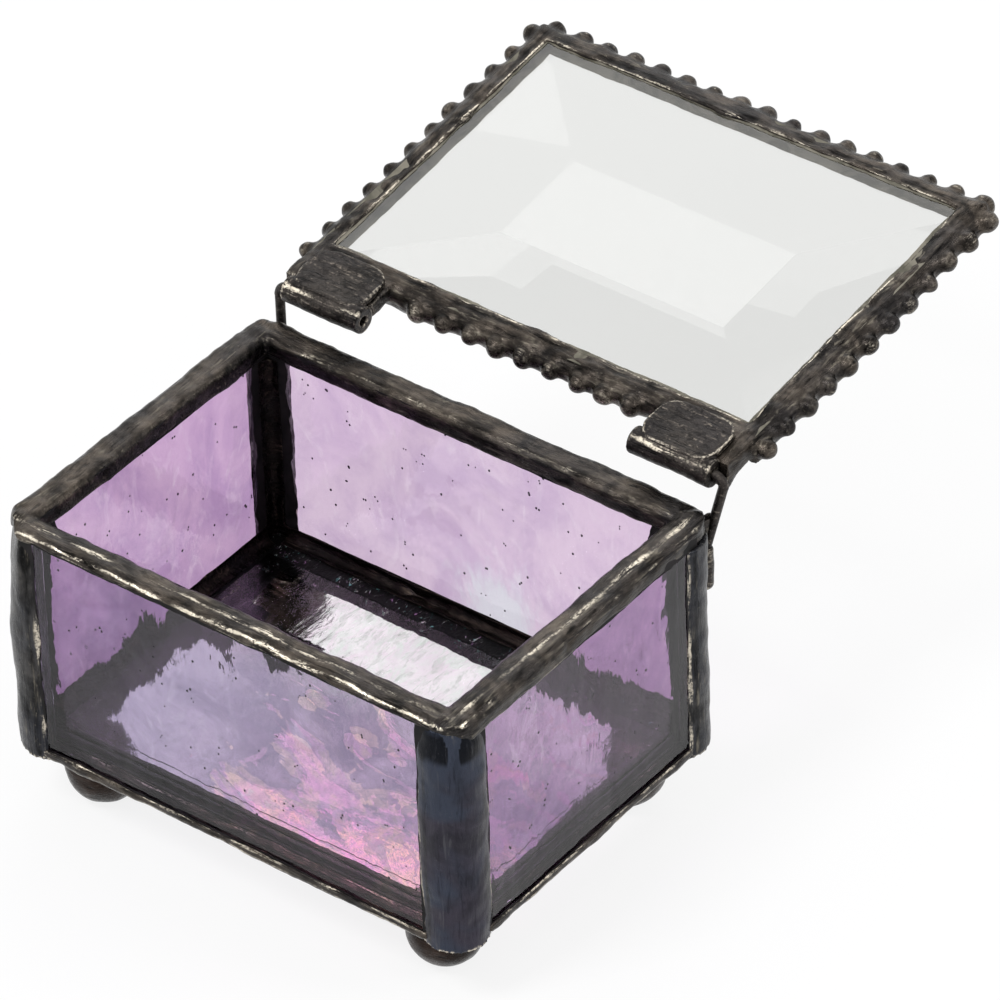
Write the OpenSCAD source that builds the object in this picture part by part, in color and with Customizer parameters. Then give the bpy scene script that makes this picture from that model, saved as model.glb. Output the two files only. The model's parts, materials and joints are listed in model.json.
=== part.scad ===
// Glass keepsake casket: five panes wrapped in copper foil and soldered into an open box
// on four ball feet, with a bevelled glass lid in a pearled solder border. The lid swings
// on two rolled tubes round two bent wires.
// X runs along the box, +Y to the hinge side and +Z up. The origin is the middle of the
// box's floor, the base pane's upper face. The lid is drawn open, as it stands in use.

/* [Box] */
// Length of the box over its glass, along X
box_l = 57; // [48:0.5:90]
// Width of the box over its glass, along Y
box_w = 42; // [34:0.2:70]
// Height of the wall panes
pane_h = 27.4; // [18:0.2:50]
// Thickness of a foiled wall pane
wall_t = 3; // [2.4:0.1:3.2]
// Thickness of the foiled base pane
base_t = 3; // [2.4:0.1:4]

/* [Foil] */
// Thickness of the copper foil
foil_t = 0.12; // [0.08:0.02:0.2]
// Width of foil that laps over the face of a wall or base pane
foil_lap = 1.7; // [1.2:0.1:2.4]
// Lap of the foil and solder over the outside of the front pane's top edge
front_lap = 0.4; // [0.3:0.1:1.1]

/* [Solder] */
// Radius of the round seam down each outside corner
corner_r = 3.55; // [3.4:0.05:4.2]
// How far the rim and base seams stand out from the glass
seam_proud = 0.3; // [0.2:0.05:0.45]
// Height of the solder above the wall panes
rim_crown = 0.6; // [0.4:0.05:1]
// Radius on the rim's long top edges
rim_edge_r = 1.1; // [0.5:0.1:1.3]
// Depth of the solder under the base
base_crown = 0.5; // [0.3:0.05:0.8]
// Radius on the base seam's lower edges
base_edge_r = 0.7; // [0.4:0.05:0.75]
// Thickness of solder at the thin edge of an inside fillet
fillet_lip = 0.2; // [0.1:0.05:0.4]

/* [Feet] */
// Radius of a ball foot
foot_r = 4.2; // [3:0.1:5]
// Distance of a foot's centre in from the outside of the end glass
foot_in_l = 6.8; // [4:0.1:7.5]
// Distance of a foot's centre in from the outside of the front and back glass
foot_in_w = 6.1; // [4:0.1:6.4]
// How far a ball reaches above the base pane's underside before it is cut to the pane
foot_sink = 0.5; // [0.4:0.05:0.8]
// Depth of the flat worn on a ball's underside
foot_flat = 0.1; // [0.05:0.05:0.3]

/* [Hinge] */
// Distance of the hinge axis behind the back glass
axis_back = 2.4; // [1.4:0.1:2.8]
// Height of the hinge axis above the rim
axis_up = 2.3; // [2.2:0.1:3.2]
// Radius of the hinge wire
wire_r = 0.52; // [0.4:0.02:0.6]
// Radial running clearance between wire and tube
wire_gap = 0.06; // [0.03:0.01:0.1]
// Inside radius of the wire's bend
wire_bend_r = 0.6; // [0.5:0.02:1]
// Length of wire that the tube holds
wire_grip = 8.5; // [5:0.5:9]
// Distance down from the rim's solder to the wire's knee, where it meets the corner seam
wire_drop = 4; // [0:0.5:6]
// Length of the wire's leg down the corner seam
wire_leg = 4; // [3:0.5:12]
// Direction of the wire's leg from the corner seam's centre, in degrees from +X
wire_side = 74; // [40:1:78]
// Radius of the solder that holds the wire's leg
joint_r = 0.85; // [0.7:0.05:1]
// Thickness of the solder web between the wire and the corner seam
web_t = 0.9; // [0.7:0.05:1.2]
// Outside radius of the rolled hinge tube
tube_r = 1.45; // [1.3:0.05:1.6]
// Length of a hinge tube
tube_l = 9.7; // [9:0.1:14]
// Distance of the tube's outer end in from the outside of the end glass
tube_inset = 1.8; // [1.6:0.1:3]
// Thickness of the hinge leaf
leaf_t = 0.65; // [0.5:0.05:0.8]
// How far the leaf stands up from the top of the tube
leaf_proud = 0.15; // [0.1:0.05:0.25]
// Distance of the leaf's ends in from the tube's ends
leaf_in = 0.4; // [0.3:0.1:1.5]
// How far the leaf reaches past the hinge axis, over the tube
leaf_over = 0.4; // [0.2:0.1:0.6]
// How far the leaf reaches over the lid glass
leaf_lap = 0.4; // [0.3:0.1:1.5]
// Radius of the leaf's corners
leaf_corner_r = 2.2; // [0.5:0.1:2.6]
// Radius of the stop's lower end, beside each wire
stop_r = 0.45; // [0.35:0.05:0.6]
// Distance of the stop down the wire's leg
stop_down = 0.1; // [0.1:0.1:1.4]
// Gap between the open lid's stop and the wire's leg
stop_gap = 0.12; // [0.05:0.01:0.3]

/* [Lid] */
// Angle of the open lid above level
lid_lean = 7.5; // [2:0.5:30]
// Distance of the lid glass's ends in from the outside of the end glass
lid_in = 0.85; // [0.3:0.05:1.5]
// How far the closed lid's glass reaches past the front glass
lid_over = 0.77; // [0:0.01:1.2]
// Distance from the hinge axis to the lid glass
lid_start = 5.37; // [5:0.1:7]
// Thickness of the lid glass at its edge
lid_edge_t = 2.2; // [1.8:0.1:3]
// Thickness of the lid glass inside its bevel
lid_mid_t = 4.2; // [3.5:0.1:5.5]
// Width of the ground bevel
bevel_w = 13.6; // [8:0.2:15]
// Radius of the lid's round border
border_r = 1.7; // [1.5:0.05:2]
// Distance of the border's centre line in from the edge of the lid glass
border_in = 0.6; // [0.3:0.05:0.9]
// Thickness of solder over the border's lap on the lid glass
border_lap_t = 0.3; // [0.2:0.05:0.4]
// Width of the border's lap on the lid glass
border_lap = 1.7; // [1.2:0.1:2.4]
// Radius of the border's four corners in plan
border_corner_r = 2.3; // [1.8:0.1:4]
// Radius of a solder pearl
pearl_r = 1.1; // [0.7:0.05:1.2]
// Spacing of the pearls
pearl_pitch = 3.4; // [2.8:0.1:5]
// Height of the pearls' centres above the border's centre line
pearl_up = 0.2; // [0:0.05:0.6]

/* [Hidden] */

$fn = 64;
// Longer than the object in any direction, for cutting
far = 300;

glass_colour = [0.72, 0.55, 0.78, 0.5];
base_colour = [0.88, 0.85, 0.9, 0.6];
clear_colour = [0.92, 0.94, 0.92, 0.4];
foil_colour = [0.42, 0.4, 0.38];
solder_colour = [0.17, 0.16, 0.15];
wire_colour = [0.22, 0.2, 0.18];

// Half sizes of the box, and of the room inside, where the corner seams have their centres
half_l = box_l / 2;
half_w = box_w / 2;
room_l = half_l - wall_t;
room_w = half_w - wall_t;

// Size of each foiled pane, and the directions that a pane's thickness can have
long_wall = [2 * room_l, wall_t, pane_h];
end_wall = [wall_t, 2 * room_w, pane_h];
base_plate = [2 * room_l, 2 * room_w, base_t];
along_x = [1, 0, 0];
along_y = [0, 1, 0];
along_z = [0, 0, 1];

// Hinge axis, and the outer end of the right tube
axis_y = half_w + axis_back;
axis_z = pane_h + rim_crown + axis_up;
tube_out = half_l - tube_inset;

// The right wire turns down at the end of its bend, leans in to the corner seam and runs down it
bend_r = wire_bend_r + wire_r;
knee_r = wire_r + wire_gap / 2;
bend_start = tube_out + wire_gap;
leg_x = room_l + (corner_r + knee_r) * cos(wire_side);
leg_y = room_w + (corner_r + knee_r) * sin(wire_side);
leg_top = [bend_start + bend_r, axis_y, axis_z - bend_r];
leg_seat = [leg_x, leg_y, pane_h - foil_lap - wire_drop];
leg_end = leg_seat - [0, 0, wire_leg];
// The wire's centre where it passes the rim's solder
leg_rim = leg_seat + (leg_top - leg_seat) * wire_drop / (leg_top.z - leg_seat.z);

// Heights in the lid's own frame, which has Y from the hinge axis and Z to the lid's inner face
leaf_z = tube_r + leaf_proud - leaf_t;
lid_face_z = leaf_z - border_lap_t;
border_z = lid_face_z + border_lap_t - border_r;
lid_l = box_l - 2 * lid_in;
lid_w = box_w + axis_back + lid_over - lid_start;
lid_end = lid_start + lid_w;
border_out = border_r - border_in;

// The stop touches the upright wire: its place in the plane across the hinge axis
leg_fall = unit([leg_seat.y - leg_top.y, leg_seat.z - leg_top.z]);
leg_back = [-leg_fall.y, leg_fall.x];
stop_place = [leg_top.y, leg_top.z] + stop_down * leg_fall + (wire_r + stop_gap + stop_r) * leg_back;
stop_root = lid_point(lid_start + border_in, border_z);

// The modules below have zero height at the base pane's underside. This sets a piece down so
// that the floor is at zero.
module set_down() {
    translate([0, 0, -base_t]) children();
}

function unit(v) = v / norm(v);
// A point in the plane across the hinge, from the open lid's own frame
function lid_point(y, z) = [
    axis_y + y * cos(lid_lean) - z * sin(lid_lean),
    axis_z + y * sin(lid_lean) + z * cos(lid_lean)
];

// Mirrors across the plane square to the given direction, where side is positive
module mirror_if(side, direction) {
    if (side > 0) mirror(direction) children();
    else children();
}

// ---- Panes and foil ----

// The space of a foiled pane, smaller by the given amount on every face
module pane_block(size, by = 0) {
    translate([-size.x / 2 + by, -size.y / 2 + by, by])
        cube([size.x - 2 * by, size.y - 2 * by, size.z - 2 * by]);
}

// The part of a pane that no foil laps over, right through its thickness
module pane_window(size, thin) {
    lap = foil_lap * ([1, 1, 1] - thin);
    translate([-size.x / 2 + lap.x, -size.y / 2 + lap.y, lap.z])
        cube([size.x - 2 * lap.x, size.y - 2 * lap.y, size.z - 2 * lap.z]);
}

module pane_glass(size, thin) {
    pane_block(size, foil_t);
    pane_window(size, thin);
}

module pane_foil(size, thin) {
    difference() {
        pane_block(size);
        pane_block(size, foil_t);
        pane_window(size, thin);
    }
}

// The strip of the front pane's outside below its narrow lap, and the space in front of it
module front_bare(before = 0) {
    translate([foil_lap - room_l, -half_w - before, pane_h - foil_lap])
        cube([2 * (room_l - foil_lap), before + wall_t / 2, foil_lap - front_lap]);
}

module at_long_wall(side) {
    translate([0, side * (room_w + wall_t / 2), 0]) children();
}

module at_end_wall(side) {
    translate([side * (room_l + wall_t / 2), 0, 0]) children();
}

module glass_long(side) {
    color(glass_colour)
        union() {
            at_long_wall(side) pane_glass(long_wall, along_y);
            if (side < 0) front_bare();
        }
}

module glass_end(side) {
    color(glass_colour) at_end_wall(side) pane_glass(end_wall, along_x);
}

module glass_base() {
    color(base_colour) pane_glass(base_plate, along_z);
}

module foil_long(side) {
    color(foil_colour)
        difference() {
            at_long_wall(side) pane_foil(long_wall, along_y);
            if (side < 0) front_bare();
        }
}

module foil_end(side) {
    color(foil_colour) at_end_wall(side) pane_foil(end_wall, along_x);
}

module foil_base() {
    color(foil_colour) pane_foil(base_plate, along_z);
}

// All five foiled panes, for cutting the solder to them
module panes() {
    for (side = [-1, 1]) {
        at_long_wall(side) pane_block(long_wall);
        at_end_wall(side) pane_block(end_wall);
    }
    pane_block(base_plate);
}

// ---- Solder of the box ----

// Everything round a corner seam's centre but the quarter inside the room, over the seam's height
module corner_column(side_x, side_y) {
    mirror_if(side_x, [1, 0, 0])
        mirror_if(side_y, [0, 1, 0])
        translate([-room_l, -room_w, -base_crown])
        rotate([0, 0, 90])
        rotate_extrude(angle = 270)
        square([corner_r, pane_h - foil_lap + base_crown]);
}

// Round seam down an outside corner, from the base to the rim
module corner_seam(side_x, side_y) {
    color(solder_colour)
        difference() {
            corner_column(side_x, side_y);
            panes();
        }
}

// A rectangle from corner a to corner b, with its lower and upper corners rounded
module round_bar(a, b, low_r, high_r) {
    translate([a.x, a.y + low_r]) square([b.x - a.x, b.y - a.y - low_r - high_r]);
    translate([a.x + low_r, a.y]) square([b.x - a.x - 2 * low_r, 2 * low_r]);
    translate([a.x + high_r, b.y - 2 * high_r]) square([b.x - a.x - 2 * high_r, 2 * high_r]);
    for (x = [a.x + low_r, b.x - low_r]) translate([x, a.y + low_r]) circle(low_r);
    for (x = [a.x + high_r, b.x - high_r]) translate([x, b.y - high_r]) circle(high_r);
}

// Runs a section along the front wall. The section's X is the distance in from the outside.
module along_front() {
    translate([-half_l - seam_proud, -half_w, 0])
        rotate([90, 0, 90])
        linear_extrude(2 * (half_l + seam_proud))
        children();
}

// Runs a section along the left wall
module along_left() {
    translate([-half_l, half_w + seam_proud, 0])
        rotate([90, 0, 0])
        linear_extrude(2 * (half_w + seam_proud))
        children();
}

// Keeps the front wall's share of its children, mitred at the corner seams' centres
module front_share() {
    reach = 2 * wall_t + seam_proud;
    intersection() {
        children();
        translate([0, 0, -far / 2])
            linear_extrude(far)
            polygon([
                [-room_l - reach, -room_w - reach], [room_l + reach, -room_w - reach],
                [room_l - reach, -room_w + reach], [-room_l + reach, -room_w + reach]
            ]);
    }
}

// Keeps the left wall's share
module left_share() {
    reach = 2 * wall_t + seam_proud;
    intersection() {
        children();
        translate([0, 0, -far / 2])
            linear_extrude(far)
            polygon([
                [-room_l - reach, -room_w - reach], [-room_l + reach, -room_w + reach],
                [-room_l + reach, room_w - reach], [-room_l - reach, room_w + reach]
            ]);
    }
}

// Rounds the box's outside corners in plan, over the seams
module round_plan() {
    r = wall_t + seam_proud;
    intersection() {
        children();
        translate([0, 0, -far / 2])
            linear_extrude(far)
            union() {
                square([2 * room_l, 2 * (room_w + r)], center = true);
                square([2 * (room_l + r), 2 * room_w], center = true);
                for (x = [-room_l, room_l], y = [-room_w, room_w]) translate([x, y]) circle(r);
            }
    }
}

module rim_section() {
    round_bar([-seam_proud, pane_h - foil_lap], [wall_t + seam_proud, pane_h + rim_crown],
        seam_proud / 2, rim_edge_r);
}

module rim_long(side) {
    color(solder_colour)
        mirror_if(side, [0, 1, 0])
        difference() {
            round_plan() front_share() along_front() rim_section();
            panes();
            if (side < 0) front_bare(wall_t);
        }
}

module rim_end(side) {
    color(solder_colour)
        mirror_if(side, [1, 0, 0])
        difference() {
            round_plan() left_share() along_left() rim_section();
            panes();
        }
}

// The base seam turns under the wall and laps on to the base pane's underside
module base_section() {
    difference() {
        round_bar([-seam_proud, -base_crown], [wall_t + foil_lap, foil_lap], base_edge_r, seam_proud / 2);
        translate([wall_t, 0]) square(far);
    }
}

module base_seam_long(side) {
    color(solder_colour)
        mirror_if(side, [0, 1, 0])
        difference() {
            round_plan() front_share() along_front() base_section();
            panes();
            for (end = [-1, 1]) corner_column(end, -1);
        }
}

module base_seam_end(side) {
    color(solder_colour)
        mirror_if(side, [1, 0, 0])
        difference() {
            round_plan() left_share() along_left() base_section();
            panes();
            for (end = [-1, 1]) corner_column(-1, end);
        }
}

// Hollow fillet of solder over the foil in an inside corner
module fillet_section() {
    difference() {
        square(foil_lap);
        translate([foil_lap, foil_lap]) circle(foil_lap - fillet_lip);
    }
}

// Fillet along the foot of a long wall, inside, between the corner fillets
module base_fillet_long(side) {
    color(solder_colour)
        mirror_if(side, [0, 1, 0])
        translate([foil_lap - room_l, -room_w, base_t])
        rotate([90, 0, 90])
        linear_extrude(2 * (room_l - foil_lap))
        fillet_section();
}

// Fillet along the foot of an end wall, inside
module base_fillet_end(side) {
    color(solder_colour)
        mirror_if(side, [1, 0, 0])
        translate([-room_l, room_w - foil_lap, base_t])
        rotate([90, 0, 0])
        linear_extrude(2 * (room_w - foil_lap))
        fillet_section();
}

// Fillet up an inside corner, from the base to the rim
module corner_fillet(side_x, side_y) {
    color(solder_colour)
        mirror_if(side_x, [1, 0, 0])
        mirror_if(side_y, [0, 1, 0])
        translate([-room_l, -room_w, base_t])
        linear_extrude(pane_h - foil_lap - base_t)
        fillet_section();
}

// ---- Feet ----

// A ball soldered to the base seam's inner edge, with a small flat to stand on
module foot(side_x, side_y) {
    foot_h = 2 * foot_r - foot_sink - foot_flat;
    color(solder_colour)
        difference() {
            translate([side_x * (half_l - foot_in_l), side_y * (half_w - foot_in_w), 0])
                intersection() {
                    translate([0, 0, foot_sink - foot_r]) sphere(foot_r);
                    translate([-foot_r, -foot_r, -foot_h]) cube([2 * foot_r, 2 * foot_r, foot_h]);
                }
            mirror_if(side_y, [0, 1, 0]) along_front() base_section();
            mirror_if(side_x, [1, 0, 0]) along_left() base_section();
        }
}

// ---- Hinge wires ----

// A straight round bar between two points
module rod(a, b, r) {
    run = b - a;
    translate(a)
        rotate([0, atan2(norm([run.x, run.y]), run.z), atan2(run.y, run.x)])
        cylinder(r = r, h = norm(run));
}

// The right wire: along the axis, round its bend and down to the corner seam
module right_wire() {
    translate([bend_start - wire_grip, axis_y, axis_z])
        rotate([0, 90, 0])
        cylinder(r = wire_r, h = wire_grip);
    translate([bend_start, axis_y, axis_z - bend_r])
        rotate([90, 0, 0])
        rotate_extrude(angle = 90)
        translate([bend_r, 0]) circle(wire_r);
    rod(leg_top, leg_seat, wire_r);
    rod(leg_end, leg_seat, wire_r);
    for (knee = [leg_top, leg_seat]) translate(knee) sphere(knee_r);
}

module hinge_wire(side) {
    color(wire_colour) mirror_if(-side, [1, 0, 0]) right_wire();
}

// The web in the angle between the wire's slanting part and the corner seam, up to the rim's solder
module wire_web() {
    seat_reach = corner_r + knee_r;
    rim_reach = norm([leg_rim.x - room_l, leg_rim.y - room_w]);
    translate([room_l, room_w, 0])
        rotate([90, 0, wire_side])
        linear_extrude(web_t, center = true)
        polygon([
            [0, leg_seat.z - joint_r], [seat_reach, leg_seat.z - joint_r], [seat_reach, leg_seat.z],
            [rim_reach, leg_rim.z], [0, leg_rim.z]
        ]);
}

// Solder that holds a wire's leg to the corner seam: a round-ended bar along the leg, and the web
module wire_joint(side) {
    color(solder_colour)
        mirror_if(-side, [1, 0, 0])
        difference() {
            union() {
                translate(leg_end)
                    rotate_extrude()
                    intersection() {
                        union() {
                            square([joint_r, wire_leg]);
                            for (y = [0, wire_leg]) translate([0, y]) circle(joint_r);
                        }
                        translate([0, -joint_r]) square([joint_r, wire_leg + 2 * joint_r]);
                    }
                wire_web();
            }
            right_wire();
            translate([room_l, room_w, 0]) cylinder(r = corner_r, h = pane_h);
        }
}

// ---- Lid ----

// Turns and lifts the lid's own frame to the open lid
module open_lid() {
    translate([0, axis_y, axis_z])
        rotate([lid_lean, 0, 0])
        children();
}

// The space of the foiled lid glass, smaller by the given amount on every face
module lid_block(by = 0) {
    near = lid_start + by;
    end = lid_end - by;
    half = lid_l / 2 - by;
    top = lid_face_z - by;
    edge = lid_face_z - lid_edge_t + by;
    low = lid_face_z - lid_mid_t + by;
    intersection() {
        translate([-half, 0, 0])
            rotate([90, 0, 90])
            linear_extrude(2 * half)
            polygon([
                [near, top], [near, edge], [near + bevel_w, low],
                [end - bevel_w, low], [end, edge], [end, top]
            ]);
        translate([0, end, 0])
            rotate([90, 0, 0])
            linear_extrude(end - near)
            polygon([
                [-half, top], [-half, edge], [-half + bevel_w, low],
                [half - bevel_w, low], [half, edge], [half, top]
            ]);
    }
}

// The part of the lid that the border leaves clear
module lid_window() {
    translate([-lid_l / 2 + border_lap, lid_start + border_lap, -far / 2])
        cube([lid_l - 2 * border_lap, lid_w - 2 * border_lap, far]);
}

module lid_glass() {
    color(clear_colour)
        open_lid() {
            lid_block(foil_t);
            intersection() {
                lid_block();
                lid_window();
            }
        }
}

module lid_foil() {
    color(foil_colour)
        open_lid()
        difference() {
            lid_block();
            lid_block(foil_t);
            lid_window();
        }
}

// The border's section: X is the distance in from the edge of the lid glass
module border_section() {
    lap_low = lid_face_z - lid_edge_t - border_lap_t;
    translate([border_in, border_z]) circle(border_r);
    translate([border_in, lap_low]) square([border_lap - border_in, lid_face_z + border_lap_t - lap_low]);
}

// A row of pearls along X, none of them between the two distances from the middle
module pearls(length, bare) {
    count = round(length / pearl_pitch);
    step = length / count;
    for (i = [0:count - 1])
        let (x = (i + 0.5 - count / 2) * step)
        if (abs(x) < bare[0] || abs(x) > bare[1])
        translate([x, 0, 0]) sphere(pearl_r, $fn = 32);
}

// The lid's plan over its border, with round corners
module lid_plan() {
    out = [lid_l / 2 + border_out, lid_w / 2 + border_out];
    flat = [out.x - border_corner_r, out.y - border_corner_r];
    translate([0, lid_start + lid_w / 2, -far / 2])
        linear_extrude(far)
        union() {
            square([2 * out.x, 2 * flat.y], center = true);
            square([2 * flat.x, 2 * out.y], center = true);
            for (x = [-flat.x, flat.x], y = [-flat.y, flat.y]) translate([x, y]) circle(border_corner_r);
        }
}

// The border along the lid's front edge, with bare as in pearls
module front_border(bare) {
    reach = 2 * border_r;
    middle = (lid_start + lid_end) / 2;
    difference() {
        intersection() {
            union() {
                intersection() {
                    translate([-lid_l / 2 - border_out, lid_end, 0])
                        rotate([90, 0, 90])
                        linear_extrude(lid_l + 2 * border_out)
                        mirror([1, 0])
                        border_section();
                    lid_plan();
                }
                translate([0, lid_end + border_out, border_z + pearl_up])
                    pearls(lid_l + 2 * border_out, bare);
            }
            translate([0, 0, -far / 2])
                linear_extrude(far)
                polygon([
                    [-lid_l / 2 - reach, lid_end + reach], [lid_l / 2 + reach, lid_end + reach],
                    [(lid_l - lid_w) / 2, middle], [(lid_w - lid_l) / 2, middle]
                ]);
        }
        lid_block();
    }
}

// The border along the lid's left edge
module left_border() {
    reach = 2 * border_r;
    middle = (lid_start + lid_end) / 2;
    difference() {
        intersection() {
            union() {
                intersection() {
                    translate([-lid_l / 2, lid_end + border_out, 0])
                        rotate([90, 0, 0])
                        linear_extrude(lid_w + 2 * border_out)
                        border_section();
                    lid_plan();
                }
                translate([-lid_l / 2 - border_out, middle, border_z + pearl_up])
                    rotate([0, 0, 90])
                    pearls(lid_w + 2 * border_out, [far, far]);
            }
            translate([0, 0, -far / 2])
                linear_extrude(far)
                polygon([
                    [-lid_l / 2 - reach, lid_start - reach], [(lid_w - lid_l) / 2, middle],
                    [-lid_l / 2 - reach, lid_end + reach]
                ]);
        }
        lid_block();
    }
}

// The same border on the hinge side, bare of pearls from the hinges outwards
module back_border() {
    translate([0, lid_start + lid_end, 0])
        mirror([0, 1, 0])
        front_border([tube_out - tube_l - pearl_r, far]);
}

module lid_border_front() {
    color(solder_colour) open_lid() front_border([far, far]);
}

module lid_border_back() {
    color(solder_colour) open_lid() back_border();
}

module lid_border_end(side) {
    color(solder_colour) open_lid() mirror_if(side, [1, 0, 0]) left_border();
}

// ---- Lid hinges ----

// The outline of the right leaf, from the top of the tube to the border
module leaf_plan() {
    low = [tube_out - tube_l + leaf_in, -leaf_over];
    high = [tube_out - leaf_in, lid_start + leaf_lap];
    r = leaf_corner_r;
    translate([low.x + r, low.y]) square([high.x - low.x - 2 * r, high.y - low.y]);
    translate([low.x, low.y + r]) square([high.x - low.x, high.y - low.y - 2 * r]);
    for (x = [low.x + r, high.x - r], y = [low.y + r, high.y - r]) translate([x, y]) circle(r);
}

// A tube rolled round the axis, with a leaf that lies on it and on the border
module hinge_tube(side) {
    color(solder_colour)
        open_lid()
        mirror_if(-side, [1, 0, 0])
        difference() {
            union() {
                translate([tube_out - tube_l, 0, 0]) rotate([0, 90, 0]) cylinder(r = tube_r, h = tube_l);
                translate([0, 0, leaf_z]) linear_extrude(leaf_t) leaf_plan();
            }
            rotate([0, 90, 0]) cylinder(r = wire_r + wire_gap, h = far);
        }
}

// The stop: a web from beside the wire's leg up to the leaf and the border, with a round lower end
module stop_web() {
    x0 = tube_out - stop_r;
    run = unit(stop_root - stop_place);
    translate([x0, 0, 0])
        rotate([90, 0, 90])
        linear_extrude(leg_top.x - x0)
        union() {
            translate(stop_place) circle(stop_r);
            polygon([
                stop_place - stop_r * leg_back, lid_point(tube_r - stop_r, leaf_z),
                lid_point(lid_start, leaf_z), stop_root, stop_place + stop_r * [run.y, -run.x]
            ]);
        }
}

// Solder under the leaf, between tube and border, and the stop at its outer end
module hinge_solder(side) {
    color(solder_colour)
        mirror_if(-side, [1, 0, 0])
        difference() {
            union() {
                stop_web();
                open_lid()
                    translate([tube_out - tube_l, 0, border_z])
                    cube([tube_l, lid_start, leaf_z - border_z]);
            }
            open_lid() {
                rotate([0, 90, 0]) cylinder(r = tube_r, h = tube_out);
                lid_block();
                back_border();
                mirror([1, 0, 0]) left_border();
            }
        }
}

set_down() glass_long(-1);  // glass_front
set_down() glass_long(1);  // glass_back
set_down() glass_end(-1);  // glass_left
set_down() glass_end(1);  // glass_right
set_down() glass_base();
set_down() foil_long(-1);  // foil_front
set_down() foil_long(1);  // foil_back
set_down() foil_end(-1);  // foil_left
set_down() foil_end(1);  // foil_right
set_down() foil_base();
set_down() corner_seam(-1, -1);  // seam_front_left
set_down() corner_seam(1, -1);  // seam_front_right
set_down() corner_seam(-1, 1);  // seam_back_left
set_down() corner_seam(1, 1);  // seam_back_right
set_down() corner_fillet(-1, -1);  // fillet_front_left
set_down() corner_fillet(1, -1);  // fillet_front_right
set_down() corner_fillet(-1, 1);  // fillet_back_left
set_down() corner_fillet(1, 1);  // fillet_back_right
set_down() base_fillet_long(-1);  // base_fillet_front
set_down() base_fillet_long(1);  // base_fillet_back
set_down() base_fillet_end(-1);  // base_fillet_left
set_down() base_fillet_end(1);  // base_fillet_right
set_down() rim_long(-1);  // rim_front
set_down() rim_long(1);  // rim_back
set_down() rim_end(-1);  // rim_left
set_down() rim_end(1);  // rim_right
set_down() base_seam_long(-1);  // base_seam_front
set_down() base_seam_long(1);  // base_seam_back
set_down() base_seam_end(-1);  // base_seam_left
set_down() base_seam_end(1);  // base_seam_right
set_down() foot(-1, -1);  // foot_front_left
set_down() foot(1, -1);  // foot_front_right
set_down() foot(-1, 1);  // foot_back_left
set_down() foot(1, 1);  // foot_back_right
set_down() hinge_wire(-1);  // hinge_wire_left
set_down() hinge_wire(1);  // hinge_wire_right
set_down() wire_joint(-1);  // wire_joint_left
set_down() wire_joint(1);  // wire_joint_right
set_down() hinge_tube(-1);  // hinge_tube_left
set_down() hinge_tube(1);  // hinge_tube_right
set_down() hinge_solder(-1);  // hinge_solder_left
set_down() hinge_solder(1);  // hinge_solder_right
set_down() lid_glass();
set_down() lid_foil();
set_down() lid_border_front();
set_down() lid_border_back();
set_down() lid_border_end(-1);  // lid_border_left
set_down() lid_border_end(1);  // lid_border_right
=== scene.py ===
import json
import math
import random

import bmesh
import bpy
import numpy as np
from mathutils import Matrix, Vector, noise

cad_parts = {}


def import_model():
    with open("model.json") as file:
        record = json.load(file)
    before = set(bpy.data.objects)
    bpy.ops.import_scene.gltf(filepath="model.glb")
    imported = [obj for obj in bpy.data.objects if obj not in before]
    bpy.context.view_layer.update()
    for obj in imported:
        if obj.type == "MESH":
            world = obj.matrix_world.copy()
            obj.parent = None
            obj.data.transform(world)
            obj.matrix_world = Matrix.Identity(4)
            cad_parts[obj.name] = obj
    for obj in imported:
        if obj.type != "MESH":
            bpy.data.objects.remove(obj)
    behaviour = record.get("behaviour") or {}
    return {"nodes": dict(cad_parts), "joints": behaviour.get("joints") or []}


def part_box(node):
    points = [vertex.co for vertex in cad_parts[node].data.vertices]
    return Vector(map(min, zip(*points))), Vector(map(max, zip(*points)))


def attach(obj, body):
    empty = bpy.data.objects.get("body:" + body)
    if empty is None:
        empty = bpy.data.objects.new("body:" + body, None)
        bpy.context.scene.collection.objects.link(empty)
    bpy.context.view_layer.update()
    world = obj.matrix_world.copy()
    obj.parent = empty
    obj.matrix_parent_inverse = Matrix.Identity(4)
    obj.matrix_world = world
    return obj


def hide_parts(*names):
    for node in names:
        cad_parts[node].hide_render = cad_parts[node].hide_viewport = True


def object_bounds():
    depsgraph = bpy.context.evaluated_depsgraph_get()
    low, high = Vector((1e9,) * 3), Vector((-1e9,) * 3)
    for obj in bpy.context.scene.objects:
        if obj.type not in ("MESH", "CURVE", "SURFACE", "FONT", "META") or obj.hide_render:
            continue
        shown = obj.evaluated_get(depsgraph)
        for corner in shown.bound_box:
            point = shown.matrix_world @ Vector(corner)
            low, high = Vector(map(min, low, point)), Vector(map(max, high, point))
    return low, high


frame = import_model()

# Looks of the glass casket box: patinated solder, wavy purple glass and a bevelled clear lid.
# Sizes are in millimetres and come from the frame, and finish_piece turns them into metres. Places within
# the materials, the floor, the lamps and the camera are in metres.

CAD_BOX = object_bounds()
MM = 0.001
SIDES = ("front", "back", "left", "right")
CORNERS = ("front_left", "front_right", "back_left", "back_right")
HANDS = ("left", "right")


def span(node):
    """Lowest and highest corner of a CAD node, in millimetres."""
    low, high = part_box(node)
    return np.array(low) / MM, np.array(high) / MM


GLASS = {side: span("glass_" + side) for side in SIDES}
# Width of foil that laps over a pane's face, the foil's thickness and a foiled wall's thickness.
FOIL_LAP = 1.7
FOIL_T = 0.12
WALL_T = 3.0
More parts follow.
